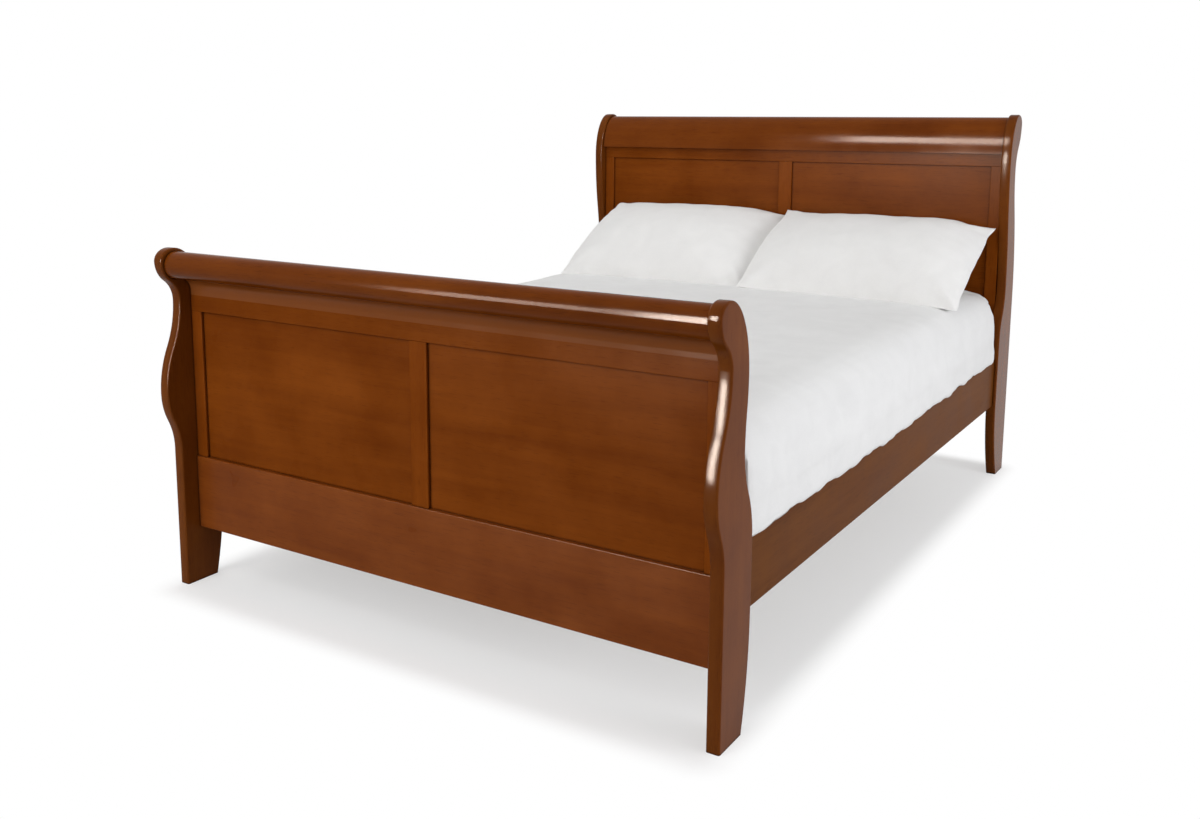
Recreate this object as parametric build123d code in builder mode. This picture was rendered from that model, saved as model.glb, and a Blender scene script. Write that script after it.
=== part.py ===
from build123d import *
import os
from math import cos, radians, sin

# Double sleigh bed: scrolled posts, framed and panelled ends, side rails on hooks,
# a slatted base with a centre beam, and its bedding. All sizes are in millimetres.
# +X is right seen from the foot, +Y runs from the foot to the head, +Z is up.
# The origin is on the floor under the middle of the bed.

# Mattress, and the room that the frame leaves around it
mattress_width = 1350.0
mattress_length = 1900.0
mattress_thickness = 212.0
mattress_corner = 60.0
mattress_edge = 30.0
mattress_side_gap = 18.0
mattress_foot_gap = 26.0
mattress_head_gap = 8.0

# Side rails
rail_thickness = 22.0
rail_height = 143.0
rail_underside = 231.0
rail_edge = 2.5

# What the four posts have in common: a scroll on the outside and a swell on the bed side
post_thickness = 28.0
post_reveal = 10.0
post_edge = 4.0
scroll_depth = 39.0
scroll_drop = 30.0
swell_depth = 84.0
swell_drop = 144.0

# Foot posts; depths are measured inwards from the scroll, drops from the top
foot_height = 832.0
foot_leg_setback = 33.0
foot_leg_height = 345.0
foot_bulge_height = 484.0
foot_waist_depth = 49.0
foot_waist_drop = 127.0
foot_inner_waist_depth = 114.0
foot_inner_waist_drop = 277.0
foot_joint_depth = 156.0
foot_joint_rise = 6.0
foot_floor_depth = 128.0

# Head posts; depths are measured inwards from the back of the leg
head_height = 1124.0
head_leg_height = 560.0
head_scroll_setback = 12.0
head_waist_depth = 61.0
head_waist_drop = 166.0
head_waist_turn = 0.72
head_inner_waist_depth = 102.0
head_inner_waist_height = 590.0
head_joint_depth = 143.0
head_joint_rise = 66.0
head_floor_depth = 89.0

# Crest rails, and the flat frame below them
crest_inset = 8.0
crest_roll_drop = 39.0
crest_height = 117.0
crest_flat = 10.0
frame_setback = 82.0
frame_thickness = 24.0
top_rail_height = 39.0
foot_rail_underside = 137.0
foot_rail_height = 180.0
head_rail_height = 200.0
lower_rail_proud = 4.0
stile_width = 34.0
mullion_width = 46.0
panel_thickness = 12.0
panel_recess = 7.0
frame_edge = 1.5

# Joinery
groove_depth = 10.0
groove_play = 1.0
tongue_thickness = 10.0
tongue_height = 12.0
tenon_length = 18.0
tenon_thickness = 12.0
tenon_shoulder = 12.0
dowel_radius = 6.0
dowel_length = 36.0
dowel_inset = 19.0
dowel_drop = 56.0
dowel_rise = 37.0
fit_gap = 0.2
lay_gap = 0.3

# Hook plates of the side rails
plate_width = 14.0
plate_height = 112.0
plate_thickness = 3.0
hook_thickness = 4.0
hook_reach = 12.0
hook_height = 18.0
hook_lip = 8.0
hook_spacing = 46.0
hook_play = 1.0
post_screw_edge = 7.0
rail_screw_spacing = 79.0

# Wood screws
screw_radius = 2.0
screw_head_radius = 3.8
screw_head_height = 2.2
plate_screw_length = 26.0
ledger_screw_length = 38.0
slat_screw_length = 36.0
bracket_screw_length = 18.0

# Slatted base
mattress_sink = 44.0
slat_count = 13
slat_width = 68.0
slat_thickness = 20.0
slat_end_gap = 3.0
slat_margin = 74.0
ledger_width = 25.0
ledger_height = 30.0
ledger_end_gap = 12.0
ledger_screw_count = 7
ledger_screw_margin = 90.0

# Centre beam and its legs
beam_width = 28.0
beam_height = 60.0
bracket_thickness = 2.5
bracket_length = 38.0
bracket_wing = 16.0
bracket_edge = 8.0
leg_width = 40.0
leg_edge = 3.0
leg_spacing = 640.0
leg_lift = 28.0
stud_radius = 4.0
stud_length = 70.0
insert_radius = 6.0
insert_length = 20.0
glide_radius = 19.0
glide_height = 8.0
stem_length = 44.0
stem_travel = 14.0
stem_gap = 0.06
stem_bore_play = 1.0

# Quilt that lies over the mattress and down to the side rails
quilt_loft = 43.0
quilt_crown = 7.0
quilt_overhang = 7.0
quilt_tuck = 12.0
quilt_bulge_rise = 108.0
quilt_shoulder = 72.0
quilt_foot_round = 40.0
quilt_head_round = 18.0
quilt_foot_gap = 9.0
quilt_post_gap = 4.0

# Pillows that lie back against the head end
pillow_width = 656.0
pillow_length = 436.0
pillow_face_swell = 84.0
pillow_back_swell = 84.0
pillow_rim = 7.0
pillow_corner_reach = 14.0
pillow_tilt = 27.0
pillow_head_gap = 24.0
pillow_pair_inset = 7.5
pillow_pair_shift = 30.0

# Places that follow from the sizes above
rail_top = rail_underside + rail_height
frame_inner = frame_setback + frame_thickness
bed_length = mattress_length + mattress_foot_gap + mattress_head_gap + 2 * frame_inner
rail_inner = mattress_width / 2 + mattress_side_gap
rail_outer = rail_inner + rail_thickness
bed_half = rail_outer + post_reveal
post_inner = bed_half - post_thickness
post_middle = bed_half - post_thickness / 2
slat_top = rail_top - mattress_sink
ledger_top = slat_top - slat_thickness
beam_underside = ledger_top - beam_height
mattress_underside = slat_top + lay_gap
mattress_top = mattress_underside + mattress_thickness
mattress_middle = (mattress_foot_gap - mattress_head_gap) / 2

ENDS = ("foot", "head")
SIDES = {"left": -1, "right": 1}
POST_TOP = {"foot": foot_height, "head": head_height}
JOINT_DEPTH = {"foot": foot_joint_depth, "head": head_joint_depth}
LOWER_RAIL = {
    "foot": (foot_rail_underside, foot_rail_underside + foot_rail_height),
    "head": (rail_underside, rail_underside + head_rail_height),
}
PANEL_OUTER = {
    "foot": frame_setback + panel_recess,
    "head": frame_inner - panel_recess - panel_thickness,
}


def inward(end):
    """Direction along Y from an end of the bed to its middle."""
    return 1 if end == "foot" else -1


def along(end, depth):
    """Y of a point that lies this deep in from an end of the bed."""
    return inward(end) * (depth - bed_length / 2)


def end_plane(end, x):
    """Plane across X whose local x is the depth in from the end and local y the height."""
    way = inward(end)
    return Plane(origin=(x, along(end, 0), 0), x_dir=(0, way, 0), z_dir=(way, 0, 0))


def block(end, x_limits, depth_limits, z_limits, mode=Mode.ADD):
    """Squared block between its limits across, in from an end, and up."""
    x_low, x_high = x_limits
    shallow, deep = depth_limits
    z_low, z_high = z_limits
    middle = ((x_low + x_high) / 2, along(end, (shallow + deep) / 2), (z_low + z_high) / 2)
    with Locations(middle):
        Box(x_high - x_low, deep - shallow, z_high - z_low, mode=mode)


def across(side, near, far):
    """Limits in X of what lies from near to far out on one side."""
    return (near, far) if side > 0 else (-far, -near)


def write(builder, name):
    """Label a finished piece and write it to its own file."""
    builder.part.label = name
    export_step(builder.part, f"parts/{name}.step")


def screws(places, length, grow=0.0, mode=Mode.ADD):
    """Countersunk screws: each points down the local -Z of its place, head flush at the origin."""
    top = (Align.CENTER, Align.CENTER, Align.MAX)
    with Locations(*places):
        Cylinder(screw_radius + grow, length + grow, align=top, mode=mode)
        head_radius = screw_head_radius + grow
        Cone(screw_radius + grow, head_radius, screw_head_height + grow, align=top, mode=mode)


def s_bend(start, end, share=0.5):
    """Two arcs, upright at both ends, that turn over at this share of the way."""
    first_point = Vector(*start)
    last_point = Vector(*end)
    turn = first_point + (last_point - first_point) * share
    first = TangentArc(first_point, turn, tangent=(0, last_point.Y - first_point.Y))
    TangentArc(turn, last_point, tangent=first % 1)


def scroll_top(crown_depth, top, drop, inset):
    """Top of a post or crest: a quarter ellipse over the scroll and one over the swell."""
    out = scroll_depth - inset
    swell = swell_depth - inset
    EllipticalCenterArc((crown_depth, top - drop), out, drop - inset, 90, arc_size=90)
    EllipticalCenterArc((crown_depth, top - swell_drop), swell, swell_drop - inset, 0, arc_size=90)


def foot_outline():
    """Outline of a foot post, drawn as depth and height."""
    joint_top = rail_top + foot_joint_rise
    leg_top = (foot_leg_setback, foot_leg_height)
    bulge = (0, foot_bulge_height)
    waist = (foot_waist_depth, foot_height - foot_waist_drop)
    scroll = (0, foot_height - scroll_drop)
    swell = (scroll_depth + swell_depth, foot_height - swell_drop)
    inner_waist = (foot_inner_waist_depth, foot_height - foot_inner_waist_drop)
    Line((foot_leg_setback, 0), leg_top)
    s_bend(leg_top, bulge)
    s_bend(bulge, waist)
    s_bend(waist, scroll)
    scroll_top(scroll_depth, foot_height, scroll_drop, 0)
    s_bend(swell, inner_waist)
    s_bend(inner_waist, (foot_joint_depth, joint_top))
    Line((foot_joint_depth, joint_top), (foot_joint_depth, rail_underside))
    TangentArc((foot_joint_depth, rail_underside), (foot_floor_depth, 0), tangent=(0, -1))
    Line((foot_floor_depth, 0), (foot_leg_setback, 0))


def head_outline():
    """Outline of a head post, drawn as depth and height."""
    joint_top = rail_top + head_joint_rise
    crown_depth = head_scroll_setback + scroll_depth
    leg_top = (0, head_leg_height)
    waist = (head_waist_depth, head_height - head_waist_drop)
    scroll = (head_scroll_setback, head_height - scroll_drop)
    swell = (crown_depth + swell_depth, head_height - swell_drop)
    inner_waist = (head_inner_waist_depth, head_inner_waist_height)
    Line((0, 0), leg_top)
    s_bend(leg_top, waist, head_waist_turn)
    s_bend(waist, scroll)
    scroll_top(crown_depth, head_height, scroll_drop, 0)
    s_bend(swell, inner_waist)
    s_bend(inner_waist, (head_joint_depth, joint_top))
    Line((head_joint_depth, joint_top), (head_joint_depth, rail_underside))
    TangentArc((head_joint_depth, rail_underside), (head_floor_depth, 0), tangent=(0, -1))
    Line((head_floor_depth, 0), (0, 0))


POST_OUTLINE = {"foot": foot_outline, "head": head_outline}
CROWN_DEPTH = {"foot": scroll_depth, "head": head_scroll_setback + scroll_depth}


def crest_outline(end):
    """Section of a crest rail: roll and cove outside, swelling face towards the bed."""
    top = POST_TOP[end]
    crown_depth = CROWN_DEPTH[end]
    underside = top - crest_height
    roll = (crown_depth - scroll_depth + crest_inset, top - crest_roll_drop)
    cove = (frame_setback, underside + crest_flat)
    swell = (crown_depth + swell_depth - crest_inset, top - swell_drop)
    s_bend(cove, roll)
    scroll_top(crown_depth, top, crest_roll_drop, crest_inset)
    Polyline(swell, (frame_setback, swell[1]), cove)


def dowel_places(end, side):
    """Middles of the two dowels between a crest rail and a post, lying along X."""
    top = POST_TOP[end]
    upper = (CROWN_DEPTH[end] + dowel_inset, top - dowel_drop)
    lower = (frame_setback, top - crest_height + dowel_rise)
    spots = [(side * post_inner, along(end, depth), height) for depth, height in (upper, lower)]
    return [Location(spot, (0, 90, 0)) for spot in spots]


def dowels(end, sides, grow=0.0, mode=Mode.ADD):
    """Round dowels across the joint of crest rail and post."""
    for side in sides:
        with Locations(*dowel_places(end, side)):
            Cylinder(dowel_radius + grow, dowel_length + 2 * grow, mode=mode)


def frame_core(thickness):
    """Depth limits of a tenon or tongue in the middle of an end frame's thickness."""
    middle = frame_setback + frame_thickness / 2
    return (middle - thickness / 2, middle + thickness / 2)


def tenon_height(rail):
    """Height limits of the tenon on a rail with these height limits."""
    low, high = rail
    return (low + tenon_shoulder, high - tenon_shoulder)


def grown(limits, gap):
    """Limits moved apart by a gap at each end."""
    return (limits[0] - gap, limits[1] + gap)


def top_rail_limits(end):
    """Underside and top of an end frame's flat top rail."""
    high = POST_TOP[end] - crest_height
    return (high - top_rail_height, high)


def rail_joint_x(side):
    """Limits in X of the metal plates, where side rail and post meet end to edge."""
    middle = (post_inner + rail_outer) / 2
    return across(side, middle - plate_width / 2, middle + plate_width / 2)


def hook_x(side):
    """Limits in X of the hooks on a rail plate."""
    middle = (post_inner + rail_outer) / 2
    return across(side, middle - hook_thickness / 2, middle + hook_thickness / 2)


plate_middle = rail_underside + rail_height / 2
plate_z = (plate_middle - plate_height / 2, plate_middle + plate_height / 2)
hook_bottoms = [plate_middle + share * hook_spacing - hook_height / 2 for share in (-0.5, 0.5)]


def plate_screw_places(end, side, into_post):
    """Places of the two screws that hold a plate, driven along Y."""
    x = side * (post_inner + rail_outer) / 2
    y = along(end, JOINT_DEPTH[end])
    turn = -90 if (end == "foot") == into_post else 90
    spacing = plate_height - 2 * post_screw_edge if into_post else rail_screw_spacing
    heights = [plate_middle + share * spacing for share in (-0.5, 0.5)]
    return [Location((x, y, height), (turn, 0, 0)) for height in heights]


def post_plate_space(end, side, gap, mode):
    """Pocket in a post for its slotted plate and for the hooks behind it."""
    joint = JOINT_DEPTH[end]
    behind = joint - hook_reach - plate_thickness
    pocket = (joint - plate_thickness - gap, joint)
    block(end, grown(rail_joint_x(side), gap), pocket, grown(plate_z, gap), mode)
    for bottom in hook_bottoms:
        tall = grown((bottom - hook_lip, bottom + hook_height + hook_lip), hook_play)
        deep = (behind - hook_play, joint - plate_thickness)
        block(end, grown(hook_x(side), hook_play), deep, tall, mode)


# Posts
def make_post(end, side):
    """Scrolled post, with mortises for the rails, dowel holes and a pocket for the hook plate."""
    with BuildPart() as post:
        with BuildSketch(end_plane(end, side * post_middle)):
            with BuildLine():
                POST_OUTLINE[end]()
            make_face()
        extrude(amount=post_thickness / 2, both=True)
        outline_edges = post.faces().filter_by(Axis.X).edges()
        fillet(outline_edges.filter_by(lambda edge: edge.center().Z > post_edge), post_edge)
        for rail in (LOWER_RAIL[end], top_rail_limits(end)):
            mortise_x = across(side, post_inner, post_inner + tenon_length + groove_play)
            mortise_depth = grown(frame_core(tenon_thickness), fit_gap)
            block(end, mortise_x, mortise_depth, grown(tenon_height(rail), fit_gap), Mode.SUBTRACT)
        dowels(end, [side], fit_gap, Mode.SUBTRACT)
        post_plate_space(end, side, fit_gap, Mode.SUBTRACT)
        screws(plate_screw_places(end, side, True), plate_screw_length, fit_gap, Mode.SUBTRACT)
    return post


# Crest rails
def make_crest(end):
    """Rolled crest rail, grooved underneath for the tongue of the top rail."""
    underside = POST_TOP[end] - crest_height
    with BuildPart() as crest:
        with BuildSketch(end_plane(end, 0)):
            with BuildLine():
                crest_outline(end)
            make_face()
        extrude(amount=post_inner, both=True)
        full = (-bed_half, bed_half)
        block(end, full, (0, 2 * frame_inner), (underside - swell_drop, underside), Mode.SUBTRACT)
        groove_top = underside + tongue_height + groove_play
        groove_depths = grown(frame_core(tongue_thickness), fit_gap)
        block(end, full, groove_depths, (underside, groove_top), Mode.SUBTRACT)
        dowels(end, SIDES.values(), fit_gap, Mode.SUBTRACT)
    return crest


def panel_depth(end, gap=0.0):
    """Depth limits of the panels of one end, or of the groove that holds them."""
    outer = PANEL_OUTER[end]
    return grown((outer, outer + panel_thickness), gap)


# Flat frames: rails run from post to post, stiles and mullion stand between the rails
def make_top_rail(end):
    """Flat rail under the crest, with a tongue above, a groove below and a tenon at each end."""
    low, high = top_rail_limits(end)
    span = (-post_inner, post_inner)
    with BuildPart() as rail:
        block(end, span, (frame_setback, frame_inner), (low, high))
        fillet(rail.edges().filter_by(Axis.X).group_by(Axis.Z)[0], frame_edge)
        block(end, span, frame_core(tongue_thickness), (high, high + tongue_height))
        block(end, grown(span, tenon_length), frame_core(tenon_thickness), tenon_height((low, high)))
        block(end, span, panel_depth(end, fit_gap), (low, low + groove_depth), Mode.SUBTRACT)
    return rail


def bracket_screw_places(end):
    """Places of the screws that hold a beam bracket to a lower rail, driven along Y."""
    x = beam_width / 2 + bracket_thickness + bracket_wing / 2
    y = along(end, frame_inner + bracket_thickness)
    turn = -90 if end == "foot" else 90
    height = ledger_top - beam_height / 2
    return [Location((way * x, y, height), (turn, 0, 0)) for way in (-1, 1)]


def make_lower_rail(end):
    """Deep lower rail, a little proud outside, grooved above, with a tenon at each end."""
    low, high = LOWER_RAIL[end]
    span = (-post_inner, post_inner)
    with BuildPart() as rail:
        block(end, span, (frame_setback - lower_rail_proud, frame_inner), (low, high))
        fillet(rail.edges().filter_by(Axis.X), frame_edge)
        block(end, grown(span, tenon_length), frame_core(tenon_thickness), tenon_height((low, high)))
        block(end, span, panel_depth(end, fit_gap), (high - groove_depth, high), Mode.SUBTRACT)
        screws(bracket_screw_places(end), bracket_screw_length, fit_gap, Mode.SUBTRACT)
    return rail


def make_upright(end, x_limits, grooved):
    """Stile or mullion between the rails, with stub tenons in their grooves and grooves for panels."""
    low = LOWER_RAIL[end][1]
    high = top_rail_limits(end)[0]
    stub = (low - groove_depth + groove_play, high + groove_depth - groove_play)
    x_low, x_high = x_limits
    with BuildPart() as upright:
        block(end, x_limits, (frame_setback, frame_inner), (low, high))
        for way in grooved:
            fillet(upright.edges().filter_by(Axis.Z).group_by(Axis.X)[-1 if way > 0 else 0], frame_edge)
        block(end, x_limits, panel_depth(end), stub)
        for way in grooved:
            groove = (x_high - groove_depth, x_high) if way > 0 else (x_low, x_low + groove_depth)
            block(end, groove, panel_depth(end, fit_gap), stub, Mode.SUBTRACT)
    return upright


def make_panel(end, side):
    """Flat panel, held in the grooves on its four edges."""
    reach = groove_depth - groove_play
    x_limits = grown((mullion_width / 2, post_inner - stile_width), reach)
    z_limits = grown((LOWER_RAIL[end][1], top_rail_limits(end)[0]), reach)
    with BuildPart() as panel:
        block(end, across(side, *x_limits), panel_depth(end), z_limits)
    return panel


# Side rails and what is fixed to them
rail_foot_y = along("foot", foot_joint_depth)
rail_head_y = along("head", head_joint_depth)
rail_length = rail_head_y - rail_foot_y
rail_middle_y = (rail_head_y + rail_foot_y) / 2
ledger_length = rail_length - 2 * ledger_end_gap
ledger_underside = ledger_top - ledger_height


def ledger_screw_places(side):
    """Places of the screws through a ledger into its side rail."""
    x = side * (rail_inner - ledger_width)
    z = ledger_top - ledger_height / 2
    run = ledger_length - 2 * ledger_screw_margin
    step = run / (ledger_screw_count - 1)
    spots = [(x, rail_middle_y - run / 2 + step * n, z) for n in range(ledger_screw_count)]
    return [Location(spot, (0, -90 * side, 0)) for spot in spots]


def make_side_rail(side):
    """Side rail, with a pocket for a hook plate in each end."""
    with BuildPart() as rail:
        rail_x = side * (rail_inner + rail_outer) / 2
        with Locations((rail_x, rail_middle_y, rail_underside + rail_height / 2)):
            Box(rail_thickness, rail_length, rail_height)
        fillet(rail.edges().filter_by(Axis.Y), rail_edge)
        for end in ENDS:
            joint = JOINT_DEPTH[end]
            pocket = (joint, joint + plate_thickness + fit_gap)
            pocket_x = grown(rail_joint_x(side), fit_gap)
            block(end, pocket_x, pocket, grown(plate_z, fit_gap), Mode.SUBTRACT)
            screws(plate_screw_places(end, side, False), plate_screw_length, fit_gap, Mode.SUBTRACT)
        screws(ledger_screw_places(side), ledger_screw_length, fit_gap, Mode.SUBTRACT)
    return rail


slat_run = mattress_length + mattress_foot_gap + mattress_head_gap - 2 * slat_margin
slat_step = (slat_run - slat_width) / (slat_count - 1)
slat_places = [slat_step * (n - (slat_count - 1) / 2) for n in range(slat_count)]


def slat_screw_places(sides):
    """Places of the screws down through the slats into the ledgers."""
    x = rail_inner - ledger_width / 2
    return [Location((side * x, y, slat_top)) for side in sides for y in slat_places]


def make_ledger(side):
    """Strip on the inside of a side rail that the slats lie on."""
    with BuildPart() as ledger:
        ledger_x = side * (rail_inner - ledger_width / 2)
        with Locations((ledger_x, rail_middle_y, ledger_top - ledger_height / 2)):
            Box(ledger_width, ledger_length, ledger_height)
        chamfer(ledger.edges().filter_by(Axis.Y).group_by(Axis.Z)[0], frame_edge)
        screws(ledger_screw_places(side), ledger_screw_length, fit_gap, Mode.SUBTRACT)
        screws(slat_screw_places([side]), slat_screw_length, fit_gap, Mode.SUBTRACT)
    return ledger


def make_slat(y):
    """One slat, from ledger to ledger."""
    with BuildPart() as slat:
        with Locations((0, y, slat_top - slat_thickness / 2)):
            Box(2 * (rail_inner - slat_end_gap), slat_width, slat_thickness)
        fillet(slat.edges().filter_by(Axis.X), frame_edge)
        x = rail_inner - ledger_width / 2
        places = [Location((way * x, y, slat_top)) for way in (-1, 1)]
        screws(places, slat_screw_length, fit_gap, Mode.SUBTRACT)
    return slat


# Centre beam, brackets, legs and levelling feet
beam_end = frame_inner + bracket_thickness + fit_gap
leg_places = [-leg_spacing / 2, leg_spacing / 2]


def make_bracket(end):
    """Steel cup with two wings that carries one end of the centre beam."""
    half = beam_width / 2 + fit_gap
    shell = half + bracket_thickness
    floor = beam_underside - fit_gap - bracket_thickness
    depth = (frame_inner, frame_inner + bracket_length)
    with BuildPart() as bracket:
        block(end, (-shell, shell), depth, (floor, ledger_top - bracket_edge))
        inside = (frame_inner + bracket_thickness, frame_inner + bracket_length)
        block(end, (-half, half), inside, (beam_underside - fit_gap, ledger_top), Mode.SUBTRACT)
        back = (frame_inner, frame_inner + bracket_thickness)
        block(end, grown((-shell, shell), bracket_wing), back, (floor, ledger_top - bracket_edge))
        screws(bracket_screw_places(end), bracket_screw_length, fit_gap, Mode.SUBTRACT)
    return bracket


def round_bar(y, radius, z_limits, mode=Mode.ADD):
    """Upright round bar on the middle line of the bed."""
    low, high = z_limits
    with Locations((0, y, (low + high) / 2)):
        Cylinder(radius, high - low, mode=mode)


stud_z = (beam_underside - stud_length / 2, beam_underside + stud_length / 2)
insert_z = (leg_lift, leg_lift + insert_length)
stem_z = (glide_height, glide_height + stem_length)


# Bedding
def mattress_form(grow, mode=Mode.ADD):
    """Mattress with rounded corners and edges, or the room that it takes."""
    with BuildSketch(Plane.XY.offset(mattress_underside - grow)) as outline:
        with Locations((0, mattress_middle)):
            width = mattress_width + 2 * grow
            RectangleRounded(width, mattress_length + 2 * grow, mattress_corner + grow)
    with BuildPart(mode=Mode.PRIVATE) as form:
        extrude(outline.sketch, amount=mattress_thickness + 2 * grow)
        rims = form.faces().filter_by(Axis.Z).edges()
        fillet(rims, mattress_edge + grow)
    add(form.part, mode=mode)


def make_quilt():
    """Quilt over the mattress: crowned on top, swelling at the sides, tucked in along the rails."""
    half = rail_outer + quilt_overhang
    hem = rail_top + lay_gap
    bulge = hem + quilt_bulge_rise
    shoulder = mattress_top + quilt_loft
    rise = shoulder - bulge
    foot_y = along("foot", frame_inner + quilt_foot_gap)
    head_y = mattress_middle + mattress_length / 2
    shoulder_x = half - quilt_shoulder
    with BuildPart() as quilt:
        with BuildSketch(Plane.XZ.offset(-foot_y)):
            with BuildLine():
                Line((0, hem), (half - quilt_tuck, hem))
                TangentArc((half, bulge), (half - quilt_tuck, hem), tangent=(0, -1))
                EllipticalCenterArc((shoulder_x, bulge), quilt_shoulder, rise, 0, arc_size=90)
                TangentArc((0, shoulder + quilt_crown), (shoulder_x, shoulder), tangent=(1, 0))
                Line((0, shoulder + quilt_crown), (0, hem))
            make_face()
            mirror(about=Plane.YZ)
        extrude(amount=foot_y - head_y)
        ends = quilt.faces().filter_by(Axis.Y).sort_by(Axis.Y)
        for end_face, radius in ((ends[0], quilt_foot_round), (ends[-1], quilt_head_round)):
            rim = end_face.edges().filter_by(lambda edge: edge.center().Z > hem + lay_gap)
            fillet(rim, radius)
        mattress_form(lay_gap, Mode.SUBTRACT)
        for end in ENDS:
            reach = (0, JOINT_DEPTH[end] + quilt_post_gap)
            for side in SIDES.values():
                beside = across(side, post_inner - quilt_post_gap, 2 * bed_half)
                block(end, beside, reach, (0, head_height), Mode.SUBTRACT)
    return quilt


def pillow_section(reach, swell):
    """Lens between the two long edges of a pillow; swell 1 is its middle."""
    half = pillow_length / 2 + reach
    face = pillow_rim + (pillow_face_swell - pillow_rim) * swell
    back = pillow_rim + (pillow_back_swell - pillow_rim) * swell
    ThreePointArc((-half, 0), (0, face), (half, 0))
    ThreePointArc((-half, 0), (0, -back), (half, 0))


PILLOW_STATIONS = (-1.0, -0.8, -0.4, 0.0, 0.4, 0.8, 1.0)


def make_pillow(side):
    """Pillow lying back against the head end: crowned, pinched at its rim, its corners drawn out."""
    tilt = radians(pillow_tilt)
    half = pillow_length / 2
    back_radius = (half ** 2 + pillow_back_swell ** 2) / (2 * pillow_back_swell)
    back_centre = back_radius - pillow_back_swell
    rest_z = mattress_top + quilt_loft + quilt_crown + lay_gap
    middle_x = pillow_pair_shift + side * (mattress_width / 4 - pillow_pair_inset)
    middle_y = along("head", frame_inner + pillow_head_gap) - half * cos(tilt)
    middle_z = rest_z + back_radius - back_centre * cos(tilt)
    with BuildPart() as pillow:
        for station in PILLOW_STATIONS:
            origin = (middle_x + station * pillow_width / 2, middle_y, middle_z)
            section_plane = Plane(origin, x_dir=(0, cos(tilt), sin(tilt)), z_dir=(1, 0, 0))
            swell = (1 - station ** 4) ** 0.5
            with BuildSketch(section_plane):
                with BuildLine():
                    pillow_section(pillow_corner_reach * station ** 4, swell)
                make_face()
        loft()
    return pillow


# Write every piece to its own file
os.makedirs("parts", exist_ok=True)

for end in ENDS:
    for side_name, side in SIDES.items():
        write(make_post(end, side), f"{end}_post_{side_name}")
    write(make_crest(end), f"{end}_crest_rail")
    write(make_top_rail(end), f"{end}_top_rail")
    write(make_lower_rail(end), f"{end}_lower_rail")
    for side_name, side in SIDES.items():
        stile_x = across(side, post_inner - stile_width, post_inner)
        write(make_upright(end, stile_x, [-side]), f"{end}_stile_{side_name}")
        write(make_panel(end, side), f"{end}_panel_{side_name}")
    write(make_upright(end, (-mullion_width / 2, mullion_width / 2), [-1, 1]), f"{end}_mullion")
    with BuildPart() as crest_dowels:
        dowels(end, SIDES.values())
    write(crest_dowels, f"{end}_crest_dowels")

for side_name, side in SIDES.items():
    write(make_side_rail(side), f"side_rail_{side_name}")
    write(make_ledger(side), f"slat_ledger_{side_name}")

with BuildPart() as post_plates:
    for end in ENDS:
        for side in SIDES.values():
            joint = JOINT_DEPTH[end]
            block(end, rail_joint_x(side), (joint - plate_thickness, joint), plate_z)
            for bottom in hook_bottoms:
                slot = (bottom - fit_gap, bottom + hook_height + hook_lip + hook_play)
                through = (joint - plate_thickness, joint)
                block(end, grown(hook_x(side), fit_gap), through, slot, Mode.SUBTRACT)
            screws(plate_screw_places(end, side, True), plate_screw_length, fit_gap, Mode.SUBTRACT)
write(post_plates, "post_slot_plates")

with BuildPart() as rail_hooks:
    for end in ENDS:
        for side in SIDES.values():
            joint = JOINT_DEPTH[end]
            tip = joint - plate_thickness - hook_reach
            block(end, rail_joint_x(side), (joint, joint + plate_thickness), plate_z)
            for bottom in hook_bottoms:
                block(end, hook_x(side), (tip, joint), (bottom, bottom + hook_height))
                lip = (tip, joint - plate_thickness - fit_gap)
                block(end, hook_x(side), lip, (bottom - hook_lip, bottom))
            screws(plate_screw_places(end, side, False), plate_screw_length, fit_gap, Mode.SUBTRACT)
write(rail_hooks, "rail_hook_plates")

with BuildPart() as plate_screws:
    for end in ENDS:
        for side in SIDES.values():
            for into_post in (True, False):
                screws(plate_screw_places(end, side, into_post), plate_screw_length)
write(plate_screws, "hook_plate_screws")

with BuildPart() as ledger_screws:
    for side in SIDES.values():
        screws(ledger_screw_places(side), ledger_screw_length)
write(ledger_screws, "ledger_screws")

for number, y in enumerate(slat_places, start=1):
    write(make_slat(y), f"slat_{number:02d}")

with BuildPart() as slat_screws:
    screws(slat_screw_places(SIDES.values()), slat_screw_length)
write(slat_screws, "slat_screws")

with BuildPart() as centre_beam:
    beam_x = (-beam_width / 2, beam_width / 2)
    block("foot", beam_x, (beam_end, bed_length - beam_end), (beam_underside, ledger_top))
    fillet(centre_beam.edges().filter_by(Axis.Y), frame_edge)
    for y in leg_places:
        round_bar(y, stud_radius + fit_gap, (beam_underside, stud_z[1] + fit_gap), Mode.SUBTRACT)
write(centre_beam, "centre_beam")

for end in ENDS:
    write(make_bracket(end), f"beam_bracket_{end}")

with BuildPart() as bracket_screws:
    for end in ENDS:
        screws(bracket_screw_places(end), bracket_screw_length)
write(bracket_screws, "bracket_screws")

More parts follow.
